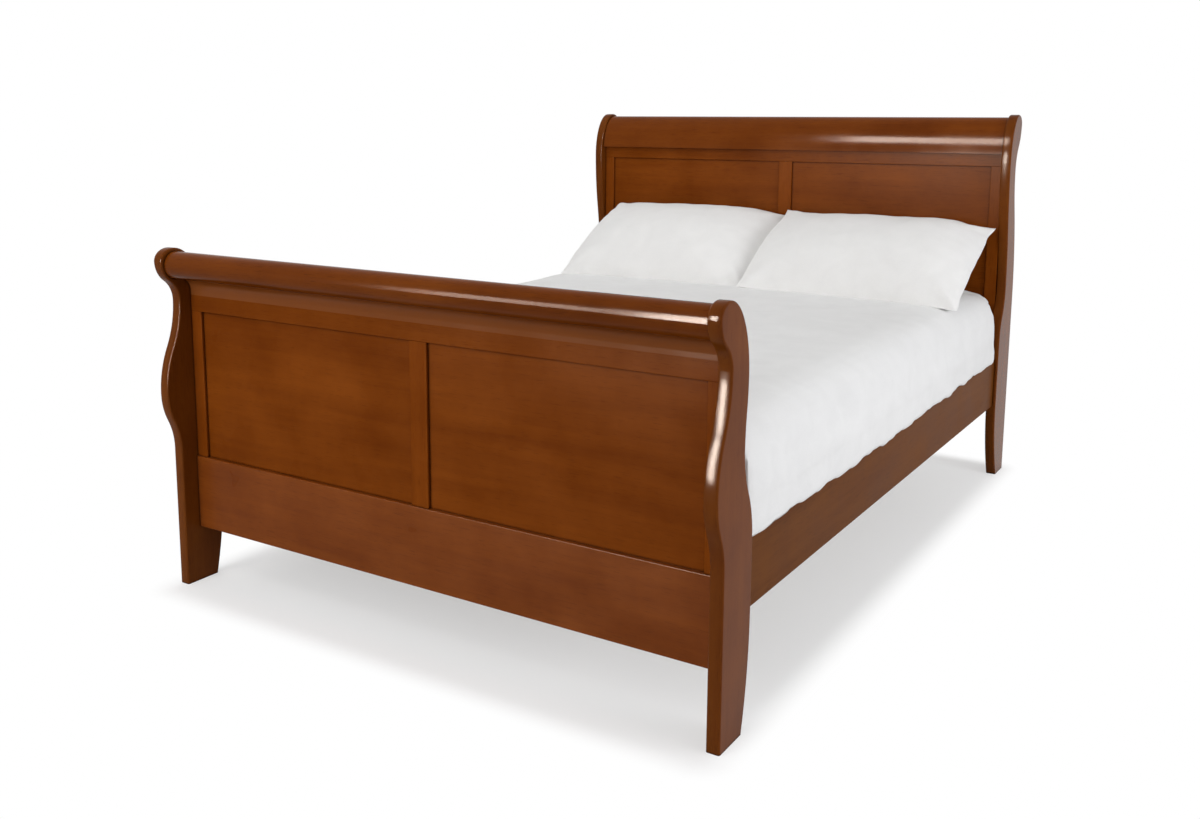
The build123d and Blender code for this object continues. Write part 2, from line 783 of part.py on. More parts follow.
for end, y in zip(ENDS, leg_places):
    with BuildPart() as centre_leg:
        with Locations((0, y, (leg_lift + beam_underside) / 2)):
            Box(leg_width, leg_width, beam_underside - leg_lift)
        fillet(centre_leg.edges().filter_by(Axis.Z), leg_edge)
        round_bar(y, stud_radius + fit_gap, (stud_z[0] - fit_gap, beam_underside), Mode.SUBTRACT)
        round_bar(y, insert_radius, insert_z, Mode.SUBTRACT)
        bore_top = stem_z[1] + stem_travel + stem_bore_play
        round_bar(y, stud_radius + stem_bore_play, (insert_z[1], bore_top), Mode.SUBTRACT)
    write(centre_leg, f"centre_leg_{end}")
    with BuildPart() as leg_insert:
        round_bar(y, insert_radius, insert_z)
        round_bar(y, stud_radius + stem_gap, insert_z, Mode.SUBTRACT)
    write(leg_insert, f"leg_insert_{end}")
    with BuildPart() as levelling_foot:
        round_bar(y, glide_radius, (0, glide_height))
        fillet(levelling_foot.edges().group_by(Axis.Z)[-1], frame_edge)
        round_bar(y, stud_radius, stem_z)
    write(levelling_foot, f"levelling_foot_{end}")

with BuildPart() as leg_studs:
    for y in leg_places:
        round_bar(y, stud_radius, stud_z)
write(leg_studs, "leg_studs")

with BuildPart() as mattress:
    mattress_form(0)
write(mattress, "mattress")

write(make_quilt(), "quilt")

for side_name, side in SIDES.items():
    write(make_pillow(side), f"pillow_{side_name}")
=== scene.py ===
import math

import bmesh
import bpy
import numpy as np
from mathutils import Matrix, Vector, noise
from mathutils.bvhtree import BVHTree


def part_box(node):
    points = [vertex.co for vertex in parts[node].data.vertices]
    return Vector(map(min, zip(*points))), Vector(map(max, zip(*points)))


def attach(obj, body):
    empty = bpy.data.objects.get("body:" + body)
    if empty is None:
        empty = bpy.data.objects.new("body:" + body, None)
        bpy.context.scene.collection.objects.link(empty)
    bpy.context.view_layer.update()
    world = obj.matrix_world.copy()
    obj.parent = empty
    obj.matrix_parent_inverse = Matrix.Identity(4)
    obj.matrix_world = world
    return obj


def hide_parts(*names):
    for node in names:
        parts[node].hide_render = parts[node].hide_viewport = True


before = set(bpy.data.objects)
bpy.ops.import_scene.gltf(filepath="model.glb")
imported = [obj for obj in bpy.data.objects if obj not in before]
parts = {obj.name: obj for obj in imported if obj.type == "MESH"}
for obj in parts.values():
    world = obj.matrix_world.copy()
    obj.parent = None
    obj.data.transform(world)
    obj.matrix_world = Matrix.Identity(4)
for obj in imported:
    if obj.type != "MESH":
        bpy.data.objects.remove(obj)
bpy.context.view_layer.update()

scene = bpy.context.scene
scene.view_settings.view_transform = "Standard"


# Materials
def node(tree, kind, settings=None, **inputs):
    """Add a shader node; each input is a value, or a socket to link from."""
    made = tree.nodes.new("ShaderNode" + kind)
    for key, value in (settings or {}).items():
        setattr(made, key, value)
    for key, value in inputs.items():
        socket = made.inputs[key.replace("_", " ")]
        if isinstance(value, bpy.types.NodeSocket):
            tree.links.new(value, socket)
        else:
            socket.default_value = value
    return made


def maths(tree, operation, *values):
    """Result of a Math node on numbers or sockets."""
    made = tree.nodes.new("ShaderNodeMath")
    made.operation = operation
    for socket, value in zip(made.inputs, values):
        if isinstance(value, bpy.types.NodeSocket):
            tree.links.new(value, socket)
        else:
            socket.default_value = value
    return made.outputs[0]


def mixed(tree, factor, first, second):
    """Colour between two colours."""
    made = tree.nodes.new("ShaderNodeMix")
    made.data_type = "RGBA"
    for index, value in ((0, factor), (6, first), (7, second)):
        if isinstance(value, bpy.types.NodeSocket):
            tree.links.new(value, made.inputs[index])
        else:
            made.inputs[index].default_value = value
    return made.outputs[2]


def ramp(tree, factor, stops):
    """Colour ramp through (place, colour) stops."""
    made = node(tree, "ValToRGB", Fac=factor)
    elements = made.color_ramp.elements
    while len(elements) < len(stops):
        elements.new(0.5)
    for element, (place, colour) in zip(elements, stops):
        element.position = place
        element.color = colour
    return made.outputs["Color"]


def spread(tree, value, low, high):
    """Noise value from its usual range to low and high."""
    made = node(tree, "MapRange", Value=value, From_Min=0.3, From_Max=0.7, To_Min=low, To_Max=high)
    return made.outputs["Result"]


def grey(level):
    """Opaque grey of one level."""
    return (level, level, level, 1)


def shade(colour, level):
    """Colour made lighter or darker by a factor."""
    return tuple(level * part for part in colour[:3]) + (1,)


def new_material(name):
    """Material with its node tree, its shader and its place on the part."""
    made = bpy.data.materials.new(name)
    made.use_nodes = True
    tree = made.node_tree
    place = node(tree, "TexCoord").outputs["Object"]
    return made, tree, tree.nodes["Principled BSDF"], place


CLOUD_SHARE, BAND_SHARE, STREAK_SHARE, PORE_SHARE = 0.62, 0.38, 0.36, 0.35
# Reach, open and shut levels and strength of the painted shade in creases and gaps between pieces.
PAINTED_SHADE_REACH = 0.007
PAINTED_SHADE_OPEN, PAINTED_SHADE_SHUT, PAINTED_SHADE_STRENGTH = 0.88, 0.5, 0.8
CROWN_RISE = 0.0008
# Fade and strength of the painted reflection that lightens the cove of the foot crest.
PAINTED_REFLECTION_FADE, PAINTED_REFLECTION_STRENGTH = 0.2, 0.7


def darkened_by_painted_shade(tree, colour, painted_shade_colour):
    """Colour darkened with painted shade in the creases and gaps between pieces, where ambient occlusion
    finds other surfaces close by.
    """
    open_share = node(tree, "AmbientOcclusion", {"samples": 8}, Distance=PAINTED_SHADE_REACH).outputs["AO"]
    painted_shade_share = node(tree, "MapRange", Value=open_share, From_Min=PAINTED_SHADE_OPEN, From_Max=PAINTED_SHADE_SHUT,
                  To_Max=PAINTED_SHADE_STRENGTH).outputs["Result"]
    return mixed(tree, painted_shade_share, colour, painted_shade_colour)


def lightened_by_painted_reflection(tree, colour, below, pale):
    """Colour lightened towards a pale greyish tone below a share of the piece's height: a painted reflection
    of the bright floor in the cove.
    """
    whole = node(tree, "TexCoord").outputs["Generated"]
    height_share = node(tree, "SeparateXYZ", Vector=whole).outputs["Z"]
    share = node(tree, "MapRange", Value=height_share, From_Min=below,
                 From_Max=below - PAINTED_REFLECTION_FADE).outputs["Result"]
    return mixed(tree, maths(tree, "MULTIPLY", share, PAINTED_REFLECTION_STRENGTH), colour, pale)


def eased(tree, place, normal, middle, half):
    """Normal of a face that is eased to a slight curve across its width, out from the bed's middle line."""
    out = maths(tree, "ABSOLUTE", node(tree, "SeparateXYZ", Vector=place).outputs["X"])
    across = maths(tree, "DIVIDE", maths(tree, "SUBTRACT", out, middle), half)
    dome = maths(tree, "MULTIPLY", maths(tree, "POWER", across, 2), -1)
    return node(tree, "Bump", Height=dome, Strength=1, Distance=CROWN_RISE, Normal=normal).outputs["Normal"]


def wood(name, grain, pale, deep, roughness, specular, figure=1.0, crown=None, painted_reflection=None):
    """Wood with its grain along one axis: clouded stain, streaks and short pores.

    crown is the middle and half width of eased faces; the last argument is a share of the height and the pale
    colour of a painted reflection below it.
    """
    made, tree, shader, place = new_material(name)

    def stretched(along, across):
        scale = [across] * 3
        scale[grain] = along
        return node(tree, "Mapping", Vector=place, Scale=scale).outputs["Vector"]

    clouds = node(tree, "TexNoise", Vector=place, Scale=5.0, Detail=4, Roughness=0.6).outputs["Fac"]
    streaks = node(tree, "TexNoise", Vector=stretched(1.7, 40), Scale=1, Detail=5, Roughness=0.6,
                   Distortion=0.5).outputs["Fac"]
    bands = node(tree, "TexNoise", Vector=stretched(0.9, 11), Scale=1, Detail=2, Roughness=0.5,
                 Distortion=0.8).outputs["Fac"]
    pores = node(tree, "TexNoise", Vector=stretched(28, 560), Scale=1, Detail=2).outputs["Fac"]
    tone = maths(tree, "ADD", maths(tree, "MULTIPLY", clouds, CLOUD_SHARE),
                 maths(tree, "MULTIPLY", bands, BAND_SHARE))
    fine = maths(tree, "MULTIPLY", maths(tree, "SUBTRACT", streaks, 0.5), STREAK_SHARE * figure)
    tone = maths(tree, "ADD", tone, fine)
    middle = tuple((a + b) / 2 for a, b in zip(pale, deep))
    colour = ramp(tree, tone, [(0.32, deep), (0.5, middle), (0.68, pale)])
    pore_mask = ramp(tree, pores, [(0.6, grey(0)), (0.68, grey(1))])
    pore_share = maths(tree, "MULTIPLY", pore_mask, PORE_SHARE * figure)
    colour = mixed(tree, pore_share, colour, shade(deep, 0.45))
    # Painted reflection: the lower part of the piece is lightened to stand in for the bright floor seen in
    # the cove.
    if painted_reflection:
        colour = lightened_by_painted_reflection(tree, colour, *painted_reflection)
    # Painted shade: the colour turns towards a very deep stain in creases and gaps, where ambient occlusion
    # is strong.
    tree.links.new(darkened_by_painted_shade(tree, colour, shade(deep, 0.18)), shader.inputs["Base Color"])
    tree.links.new(spread(tree, clouds, roughness - 0.04, roughness + 0.06), shader.inputs["Roughness"])
    height = maths(tree, "SUBTRACT", maths(tree, "MULTIPLY", streaks, 0.4),
                   maths(tree, "MULTIPLY", pore_mask, 0.3))
    normal = node(tree, "Bump", Height=height, Strength=0.08 * figure ** 2, Distance=0.0003).outputs["Normal"]
    if crown:
        normal = eased(tree, place, normal, *crown)
    tree.links.new(normal, shader.inputs["Normal"])
    shader.inputs["Specular IOR Level"].default_value = specular
    return made


def cotton(name, colour, pitch, crumple):
    """Plain woven cotton with fine crumples."""
    made, tree, shader, place = new_material(name)
    turns = node(tree, "VectorMath", {"operation": "SCALE"}, Vector=place, Scale=2 * math.pi / pitch)
    waves = node(tree, "VectorMath", {"operation": "SINE"}, Vector=turns.outputs["Vector"])
    split = node(tree, "SeparateXYZ", Vector=waves.outputs["Vector"]).outputs
    weave = maths(tree, "ADD", maths(tree, "ADD", split["X"], split["Y"]), split["Z"])
    soft = node(tree, "TexNoise", Vector=place, Scale=14, Detail=4, Roughness=0.5,
                Distortion=0.6).outputs["Fac"]
    slub = node(tree, "TexNoise", Vector=place, Scale=420, Detail=2).outputs["Fac"]
    tint = maths(tree, "ADD", maths(tree, "MULTIPLY", soft, 0.6), maths(tree, "MULTIPLY", slub, 0.4))
    tinted = ramp(tree, tint, [(0.3, shade(colour, 0.96)), (0.7, shade(colour, 1.03))])
    tree.links.new(tinted, shader.inputs["Base Color"])
    threads = node(tree, "Bump", Height=weave, Strength=0.15, Distance=0.0001)
    creases = node(tree, "Bump", Height=soft, Strength=crumple, Distance=0.012,
                   Normal=threads.outputs["Normal"])
    tree.links.new(creases.outputs["Normal"], shader.inputs["Normal"])
    shader.inputs["Roughness"].default_value = 0.85
    shader.inputs["Specular IOR Level"].default_value = 0.03
    return made


def zinc(name):
    """Zinc-plated steel: dull metal with a faint crystal pattern."""
    made, tree, shader, place = new_material(name)
    grains = node(tree, "TexVoronoi", Vector=place, Scale=260).outputs["Color"]
    level = node(tree, "SeparateColor", Color=grains).outputs[0]
    tinted = ramp(tree, level, [(0, (0.52, 0.53, 0.55, 1)), (1, (0.66, 0.67, 0.68, 1))])
    tree.links.new(tinted, shader.inputs["Base Color"])
    tree.links.new(maths(tree, "MULTIPLY_ADD", level, 0.15, 0.3), shader.inputs["Roughness"])
    shader.inputs["Metallic"].default_value = 1
    return made


def plastic(name):
    """Moulded plastic with a fine matt texture."""
    made, tree, shader, place = new_material(name)
    grain = node(tree, "TexNoise", Vector=place, Scale=900, Detail=3).outputs["Fac"]
    tree.links.new(ramp(tree, grain, [(0.3, grey(0.016)), (0.7, grey(0.03))]), shader.inputs["Base Color"])
    bump = node(tree, "Bump", Height=grain, Strength=0.2, Distance=0.0002)
    tree.links.new(bump.outputs["Normal"], shader.inputs["Normal"])
    shader.inputs["Roughness"].default_value = 0.5
    return made


X, Y, Z = range(3)
STAIN_PALE = (0.224, 0.054, 0.0050, 1)
STAIN_DEEP = (0.142, 0.030, 0.0022, 1)
POST_PALE = (0.168, 0.0455, 0.0054, 1)
POST_DEEP = (0.110, 0.0258, 0.0027, 1)
# Side rail colours: the stain made greyer with a painted reflection, the grey sheen of gloss at a grazing
# angle painted into the colour.
SIDE_STAIN_AND_PAINTED_SHEEN_PALE = (0.137, 0.0445, 0.0078, 1)
SIDE_STAIN_AND_PAINTED_SHEEN_DEEP = (0.093, 0.0264, 0.0036, 1)
PINE_PALE = (0.62, 0.41, 0.22, 1)
PINE_DEEP = (0.47, 0.28, 0.13, 1)

post_low, post_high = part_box("foot_post_right")
POST_CROWN = ((post_low.x + post_high.x) / 2, (post_high.x - post_low.x) / 2)
# Height share and pale colour of the painted reflection in the foot crest's cove.
PAINTED_COVE_REFLECTION = (0.42, (0.25, 0.078, 0.020, 1))
SHEEN = (0.15, 0.036)
RAW_TIMBER = (PINE_PALE, PINE_DEEP, 0.6, 0.3, 1.4)


def stain(level):
    """Pale and deep colours of the stain at one level."""
    return shade(STAIN_PALE, level), shade(STAIN_DEEP, level)


# Each wood: grain axis, pale and deep colours, roughness, specular level and, if not 1, strength of figure
looks = {
    "post": wood("stained_wood_post", Z, POST_PALE, POST_DEEP, *SHEEN, crown=POST_CROWN),
    # The foot crest carries a painted reflection in its cove.
    "foot_crest": wood("stained_wood_foot_crest", X, *stain(0.76), *SHEEN, painted_reflection=PAINTED_COVE_REFLECTION),
    "crest_rail": wood("stained_wood_crest", X, *stain(0.86), *SHEEN),
    "top_rail": wood("stained_wood_rail", X, STAIN_PALE, STAIN_DEEP, 0.24, 0.008),
    "lower_rail": wood("stained_wood_lower", X, shade(STAIN_PALE, 1.04), shade(STAIN_DEEP, 1.06), 0.3, 0.05),
    "panel": wood("stained_wood_panel", X, STAIN_PALE, STAIN_DEEP, 0.27, 0.008),
    "stile": wood("stained_wood_stile", Z, *stain(1.06), 0.24, 0.008),
    # Side rails: stain plus a painted reflection in their greyer colour, with a low specular level.
    "side_rail": wood("stained_wood_side_painted_sheen", Y, SIDE_STAIN_AND_PAINTED_SHEEN_PALE, SIDE_STAIN_AND_PAINTED_SHEEN_DEEP, 0.35, 0.012),
    "slat": wood("bare_timber_slat", X, *RAW_TIMBER),
    "beam": wood("bare_timber_beam", Y, *RAW_TIMBER),
    "leg": wood("bare_timber_leg", Z, *RAW_TIMBER),
    "steel": zinc("zinc_steel"),
    "plastic": plastic("dark_plastic"),
    "mattress": cotton("mattress_ticking", (0.74, 0.73, 0.70, 1), 0.004, 0.05),
    "quilt": cotton("quilt_cotton", (0.80, 0.80, 0.795, 1), 0.0012, 0.08),
    "pillow": cotton("pillow_cotton", (0.82, 0.815, 0.805, 1), 0.0012, 0.1),
}

LOOK_OF_NAME = (
    ("screws", "steel"), ("plates", "steel"), ("studs", "steel"), ("insert", "steel"), ("bracket", "steel"),
    ("levelling_foot", "plastic"), ("post", "post"), ("foot_crest_rail", "foot_crest"),
    ("crest_rail", "crest_rail"), ("crest_dowels", "slat"), ("top_rail", "top_rail"),
    ("lower_rail", "lower_rail"), ("panel", "panel"), ("stile", "stile"), ("mullion", "stile"),
    ("side_rail", "side_rail"), ("ledger", "beam"), ("centre_beam", "beam"), ("centre_leg", "leg"),
    ("slat", "slat"), ("mattress", "mattress"), ("quilt", "quilt"), ("pillow", "pillow"),
)


def look_of(name):
    """Material of a CAD node, from the first word found in its name."""
    return looks[next(look for word, look in LOOK_OF_NAME if word in name)]


for part_name, part in parts.items():
    for part_slot in part.material_slots:
        part_slot.material = look_of(part_name)


# Meshes
def points_of(mesh):
    """Vertex places of a mesh as rows of x, y and z."""
    flat = np.empty(3 * len(mesh.vertices), np.float32)
    mesh.vertices.foreach_get("co", flat)
    return flat.reshape(-1, 3).astype(float)


def normals_of(mesh):
    """Vertex normals of a mesh as rows."""
    flat = np.empty(3 * len(mesh.vertices), np.float32)
    mesh.vertices.foreach_get("normal", flat)
    return flat.reshape(-1, 3).astype(float)


def set_points(mesh, points):
    """Move a mesh's vertices to these rows."""
    mesh.vertices.foreach_set("co", np.asarray(points, np.float32).ravel())
    mesh.update()


def new_object(name, mesh, look):
    """Smooth-shaded object in the scene with one material."""
    made = bpy.data.objects.new(name, mesh)
    scene.collection.objects.link(made)
    mesh.materials.clear()
    mesh.materials.append(look)
    mesh.shade_smooth()
    return made


def baked(piece):
    """Replace a piece's mesh by what its modifiers make of it."""
    graph = bpy.context.evaluated_depsgraph_get()
    result = bpy.data.meshes.new_from_object(piece.evaluated_get(graph))
    piece.modifiers.clear()
    piece.data = result
    result.shade_smooth()


def remeshed_copy(name, part_name, voxel, look):
    """Even mesh of a soft CAD solid."""
    mesh = bpy.data.meshes.new(name)
    source = bmesh.new()
    source.from_mesh(parts[part_name].data)
    bmesh.ops.remove_doubles(source, verts=source.verts, dist=1e-5)
    source.to_mesh(mesh)
    source.free()
    made = new_object(name, mesh, look)
    remesh = made.modifiers.new("even", "REMESH")
    remesh.mode = "VOXEL"
    remesh.voxel_size = voxel
    baked(made)
    return made


def inflated(piece, pressure, last_frame, cap=None, free=None, stiffness=15.0, bending=0.5):
    """Swell a closed mesh as cloth under pressure, with a cap on how far a point moves."""
    start = points_of(piece.data)
    cloth = piece.modifiers.new("cloth", "CLOTH")
    settings = cloth.settings
    settings.quality = 6
    settings.mass = 0.3
    settings.air_damping = 2
    for side in ("tension", "compression", "shear"):
        setattr(settings, side + "_stiffness", stiffness)
    settings.bending_stiffness = bending
    settings.use_pressure = True
    settings.uniform_pressure_force = pressure
    settings.effector_weights.gravity = 0
    cloth.collision_settings.use_collision = False
    if free is not None:
        held = piece.vertex_groups.new(name="held")
        for index in np.flatnonzero(free < 0.999):
            held.add([int(index)], float(1 - free[index]), "REPLACE")
        settings.vertex_group_mass = held.name
    cloth.point_cache.frame_start = 1
    cloth.point_cache.frame_end = last_frame
    for number in range(1, last_frame + 1):
        scene.frame_set(number)
    baked(piece)
    scene.frame_set(1)
    if cap is not None:
        moved = points_of(piece.data) - start
        length = np.linalg.norm(moved, axis=1, keepdims=True)
        moved *= np.minimum(1, cap / np.maximum(length, 1e-9))
        set_points(piece.data, start + moved)


def subdivided(piece):
    """One step of subdivision."""
    modifier = piece.modifiers.new("fine", "SUBSURF")
    modifier.levels = modifier.render_levels = 1
    baked(piece)


def ripple(points, size, seed):
    """Smooth noise from -1 to 1 at points, with one wavelength for each axis."""
    shifted = points / np.asarray(size) + seed
    return np.array([noise.noise(Vector(row)) for row in shifted])


def smooth_step(value, low, high):
    """0 below low, 1 above high, and smooth between."""
    share = np.clip((value - low) / (high - low), 0, 1)
    return share * share * (3 - 2 * share)


# Bedding
rail_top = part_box("side_rail_right")[1].z
rail_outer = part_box("side_rail_right")[1].x
quilt_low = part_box("quilt")[0]
mattress_low, mattress_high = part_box("mattress")
head_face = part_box("head_stile_right")[0].y
foot_post_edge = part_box("foot_post_right")[1].y
head_post_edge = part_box("head_post_right")[0].y

MATTRESS_VOXEL, QUILT_VOXEL = 0.014, 0.011
TUFT_SPACING, TUFT_DEPTH, TUFT_MARGIN = 0.15, 0.006, 0.06
BORDER_SEAMS, SEAM_WIDTH, SEAM_DEPTH = (-0.05, 0, 0.05), 0.008, 0.004
MATTRESS_INSET, QUILT_INSET, POST_INSET = 0.0015, 0.002, 0.003
LINING = 0.006
TOP_BROAD, TOP_SMALL, TOP_FOLDS = 0.0045, 0.002, 0.002
SIDE_BROAD, SIDE_FOLDS, SIDE_SMALL = 0.004, 0.005, 0.0015
POST_CLEARANCE, POST_FADE = 0.05, 0.04
POST_ZONE = (0.62, 0.68)
QUILT_CAP = 0.006
RAIL_GAP = 0.0006
RAIL_EDGE = 0.006
RAIL_INSIDE = 0.01
HEM_DROP_FOOT, HEM_DROP_HEAD = 0.016, 0.010
HEM_START, HEM_FULL = 0.02, 0.011
HEM_REACH = 0.06
HEM_HELD, HEM_WALL = 0.04, 0.015
HEM_WAVE = 0.006
HEM_PROUD = 0.012


def make_mattress():
    """Mattress with a tufted top and a border with stitched lines."""
    piece = remeshed_copy("mattress_pad", "mattress", MATTRESS_VOXEL, looks["mattress"])
    points = points_of(piece.data)
    normals = normals_of(piece.data)
    inner = smooth_step(mattress_high.x - np.abs(points[:, 0]), 0.0, TUFT_MARGIN)
    inner *= (smooth_step(points[:, 1] - mattress_low.y, 0, TUFT_MARGIN)
              * smooth_step(mattress_high.y - points[:, 1], 0, TUFT_MARGIN))
    across, along = points[:, 0] / TUFT_SPACING, points[:, 1] / TUFT_SPACING
    diamonds = np.abs(np.sin(math.pi * (across + along) / 2) * np.sin(math.pi * (across - along) / 2))
    flat = np.abs(normals[:, 2])
    dent = TUFT_DEPTH * (1 - diamonds ** 0.5) * inner * smooth_step(flat, 0.8, 1)
    middle = (mattress_low.z + mattress_high.z) / 2
    seams = sum(np.exp(-((points[:, 2] - middle - offset) / SEAM_WIDTH) ** 2) for offset in BORDER_SEAMS)
    dent += SEAM_DEPTH * seams * smooth_step(1 - flat, 0.8, 1)
    set_points(piece.data, points - normals * (dent + MATTRESS_INSET)[:, None])
    inflated(piece, pressure=3, last_frame=6, cap=MATTRESS_INSET)
    return piece


def make_quilt():
    """Quilt in broad soft folds, with a wavy hem along the side rails."""
    piece = remeshed_copy("quilt_cover", "quilt", QUILT_VOXEL, looks["quilt"])
    points = points_of(piece.data)
    normals = normals_of(piece.data)
    x, y, z = points.T
    inside = (np.abs(x) < mattress_high.x + LINING) & (z < mattress_high.z + LINING)
    inside &= y > mattress_low.y - LINING
    top = smooth_step(normals[:, 2], 0.5, 0.95)
    near_post = np.maximum(
        smooth_step(foot_post_edge + POST_CLEARANCE - y, 0, POST_FADE),
        smooth_step(y - head_post_edge + POST_CLEARANCE, 0, POST_FADE),
    ) * smooth_step(np.abs(x), *POST_ZONE)
    broad = ripple(points, (0.42, 0.55, 0.42), 3.7)
    folds = ripple(points, (0.5, 0.16, 0.6), 11.2)
    small = ripple(points, (0.13, 0.10, 0.13), 23.9)
    swell = top * (TOP_BROAD * broad + TOP_SMALL * small + TOP_FOLDS * folds)
    swell += (1 - top) * (SIDE_BROAD * broad + SIDE_FOLDS * folds + SIDE_SMALL * small)
    swell = np.where(near_post > 0, swell * (1 - near_post) - POST_INSET * near_post, swell) - QUILT_INSET
    swell[inside] = 0
    points = points + normals * swell[:, None]
    outside = np.abs(x) > mattress_high.x + HEM_WALL
    hem = smooth_step(quilt_low.z + HEM_HELD - z, 0, HEM_HELD) * outside
    set_points(piece.data, points)
    free = np.where(inside, 0.0, 1 - 0.9 * hem)
    inflated(piece, pressure=4, last_frame=12, cap=QUILT_CAP, free=free)
    points = points_of(piece.data)
    points[:, 2] = np.maximum(points[:, 2], rail_top + RAIL_GAP)
    set_points(piece.data, points)
    subdivided(piece)
    hang_hem(piece)
    return piece


def hang_hem(piece):
    """Let the quilt's hem hang a little over the side rails, in small waves."""
    points = points_of(piece.data)
    x, y, z = points.T
    side = np.sign(x)
    share = smooth_step(np.abs(x), rail_outer - HEM_START, rail_outer - HEM_FULL)
    share *= 1 - smooth_step(z, rail_top, rail_top + HEM_REACH)
    along = (y - foot_post_edge) / (head_post_edge - foot_post_edge)
    line = np.stack([3 * side, y, 0 * y], axis=1)
    wave = ripple(line, (1, 0.08, 1), 5.1) + 0.7 * ripple(line, (1, 0.034, 1), 8.3)
    drop = HEM_DROP_FOOT + (HEM_DROP_HEAD - HEM_DROP_FOOT) * along + HEM_WAVE * wave
    points[:, 2] -= drop * share
    points[:, 0] += side * HEM_PROUD * share
    out = np.abs(points[:, 0])
    in_rail = (out > mattress_high.x + RAIL_INSIDE) & (out < rail_outer + RAIL_GAP)
    in_rail &= points[:, 2] < rail_top + RAIL_GAP
    over = in_rail & (out < rail_outer - RAIL_EDGE)
    points[over, 2] = rail_top + RAIL_GAP
    beside = in_rail & ~over
    points[beside, 0] = side[beside] * (rail_outer + RAIL_GAP)
    set_points(piece.data, points)


PILLOW_COLUMNS, PILLOW_ROWS = 60, 40
PILLOW_HALF_WIDTH, PILLOW_HALF_LENGTH = 0.326, 0.214
PILLOW_CORNER_ACROSS, PILLOW_CORNER_UP = 0.004, 0.012
PILLOW_SWELL = 0.086
PILLOW_TILT = math.radians(27)
PILLOW_LEAN = 0.006
PILLOW_EAR = 0.005
PILLOW_FOLD, PILLOW_PUCKER = 0.006, 0.005
RIM_WAVE_ACROSS, RIM_WAVE_UP = 0.004, 0.005
PILLOW_CAP = 0.007
PILLOW_SINK = 0.002


def pillow_case(name, look):
    """Plump case of two faces sewn at a thin rim, with drawn-out corners; also each point's place in it."""
    made = bmesh.new()
    places = []
    faces = []
    for side in (1, -1):
        layer = {}
        for i in range(PILLOW_COLUMNS + 1):
            for j in range(PILLOW_ROWS + 1):
                rim = i in (0, PILLOW_COLUMNS) or j in (0, PILLOW_ROWS)
                if rim and side < 0:
                    layer[i, j] = faces[0][i, j]
                    continue
                u = math.sin(math.pi / 2 * (2 * i / PILLOW_COLUMNS - 1) * 0.999)
                v = math.sin(math.pi / 2 * (2 * j / PILLOW_ROWS - 1) * 0.999)
                if rim:
                    u, v = (round(value) if edge else value
                            for value, edge in ((u, i in (0, PILLOW_COLUMNS)), (v, j in (0, PILLOW_ROWS))))
                x = u * (PILLOW_HALF_WIDTH + PILLOW_CORNER_ACROSS * v ** 4)
                y = v * (PILLOW_HALF_LENGTH + PILLOW_CORNER_UP * u ** 4)
                height = PILLOW_SWELL * (1 - u ** 4) ** 0.6 * (1 - abs(v) ** 2.4) ** 0.72
                layer[i, j] = made.verts.new((x, y, 0 if rim else side * height))
                places.append((u, v))
        faces.append(layer)
    for side, layer in zip((1, -1), faces):
        for i in range(PILLOW_COLUMNS):
            for j in range(PILLOW_ROWS):
                ring = [layer[i, j], layer[i + 1, j], layer[i + 1, j + 1], layer[i, j + 1]]
                made.faces.new(ring[::side])
    mesh = bpy.data.meshes.new(name)
    made.to_mesh(mesh)
    made.free()
    return new_object(name, mesh, look), np.array(places).T


def soft_floor(values, lowest, softness):
    """Values kept above lowest, with a soft bend where they meet it."""
    return lowest + softness * np.logaddexp(0, (values - lowest) / softness)


